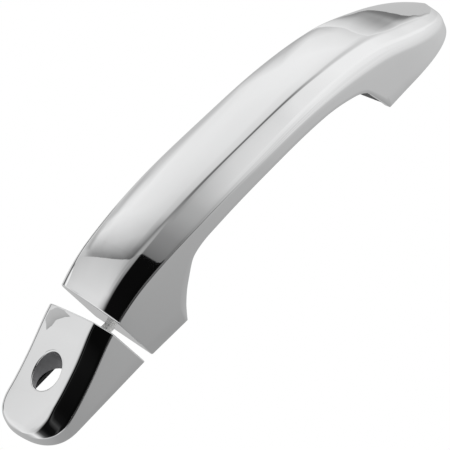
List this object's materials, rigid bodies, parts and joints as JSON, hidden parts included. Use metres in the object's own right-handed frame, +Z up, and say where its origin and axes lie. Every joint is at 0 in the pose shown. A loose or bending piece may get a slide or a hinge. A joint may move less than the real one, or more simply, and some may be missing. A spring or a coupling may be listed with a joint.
{
  "type": "car door handle",
  "caption": "Exterior car door pull handle: chromed strap grip on a hidden front hinge, separate key-cylinder cap, and a frame behind the skin with bellcrank, counterweight and spring.",
  "frame": {"origin": "on the frame's outer face, the plane that seats against the inner side of the door skin, near the rear foot of the grip", "axes": "+X runs forward along the handle to its hinge end, -Y points out of the door, +Z is up on the car"},
  "size_m": [0.2399, 0.0646, 0.0733],
  "materials": {
    "chrome": "polished chrome plating",
    "black_plastic": "fine grained, dark",
    "frame_plastic": "fine grained, pale natural",
    "acetal": "smooth",
    "rubber": "matte",
    "steel": "zinc plated",
    "spring_steel": "oiled wire",
    "die_cast": "as cast, satin",
    "brass": "turned"
  },
  "bodies": {
    "frame": {"chassis": "frame_plastic", "cap_shell": "chrome", "cap_carrier": "black_plastic", "cap_insert": "brass", "cap_screw": "steel", "front_gasket": "rubber", "rear_gasket": "rubber", "cap_gasket": "rubber", "arm_guide": "acetal", "frame_inserts": "brass", "hinge_pin": "steel", "bellcrank_pin": "steel", "pin_clips": "steel"},
    "grip": {"grip_shell": "chrome", "grip_carrier": "black_plastic", "grip_screws": "steel", "hinge_bush": "acetal", "arm_wear_clip": "steel", "foot_buffers": "rubber"},
    "bellcrank": {"bellcrank": "die_cast", "bellcrank_bushes": "acetal", "return_spring": "spring_steel", "counterweight": "die_cast", "counterweight_screw": "steel", "rod_clip": "acetal"}
  },
  "joints": [
    {"name": "grip_swing", "type": "hinge", "parent": "frame", "child": "grip", "pos_m": [0.169, 0.008, 0.0075], "axis": [0, 0, 1], "range_deg": [0, 6]},
    {"name": "bellcrank_turn", "type": "hinge", "parent": "frame", "child": "bellcrank", "pos_m": [0.0245, 0.0105, 0.03552], "axis": [-1, 0, 0], "range_deg": [0, 54.2], "stiffness_Nm_per_rad": 0.17, "springref_deg": -57.3, "deforming": ["return_spring"]}
  ],
  "couplings": [
    {"joint": "bellcrank_turn", "follows": "grip_swing", "ratio": 9.03}
  ]
}
